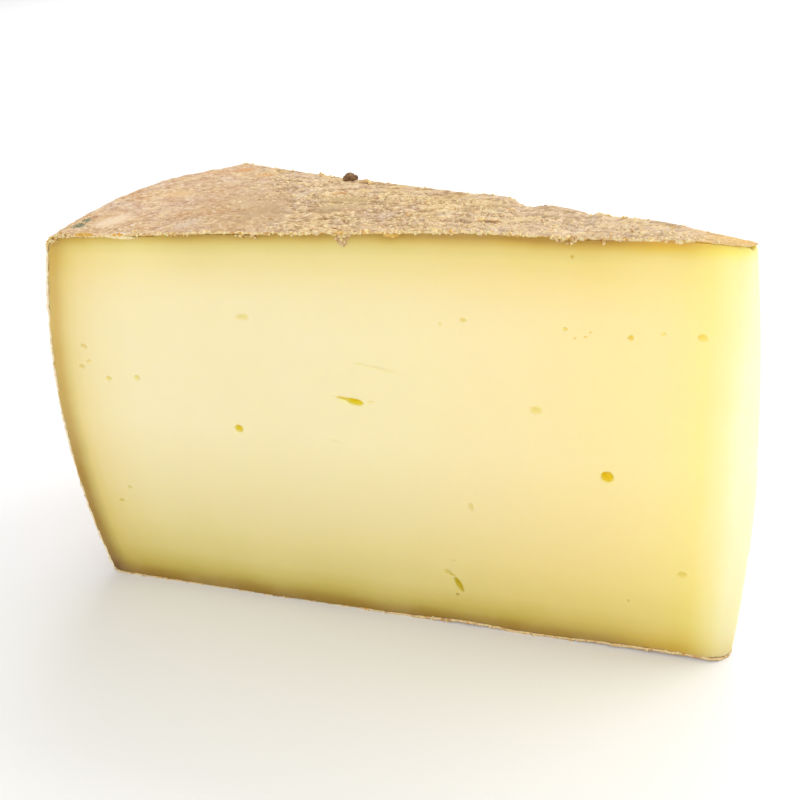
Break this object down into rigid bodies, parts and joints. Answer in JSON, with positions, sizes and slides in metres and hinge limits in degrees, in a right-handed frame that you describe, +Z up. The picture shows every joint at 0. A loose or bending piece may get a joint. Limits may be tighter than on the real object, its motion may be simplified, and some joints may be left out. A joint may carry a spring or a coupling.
{
  "type": "alpine cheese wedge",
  "caption": "Wedge of firm alpine cheese: pale yellow paste with small eyes and slits, a blunt nose, and a crumbly brown rind over its top, bulged rim and base.",
  "frame": {"origin": "middle of the box round the footprint, on the table", "axes": "+Z up; the shown cut lies along X and faces -Y; the blunt nose points to +X and the bulged rim of the wheel to -X"},
  "size_m": [0.1379, 0.0596, 0.08],
  "materials": {
    "paste": "pale yellow cheese paste, faintly moist",
    "rind": "dry brown natural rind, crumbly"
  },
  "bodies": {
    "root": {"cheese_wedge": "paste"}
  },
  "joints": []
}
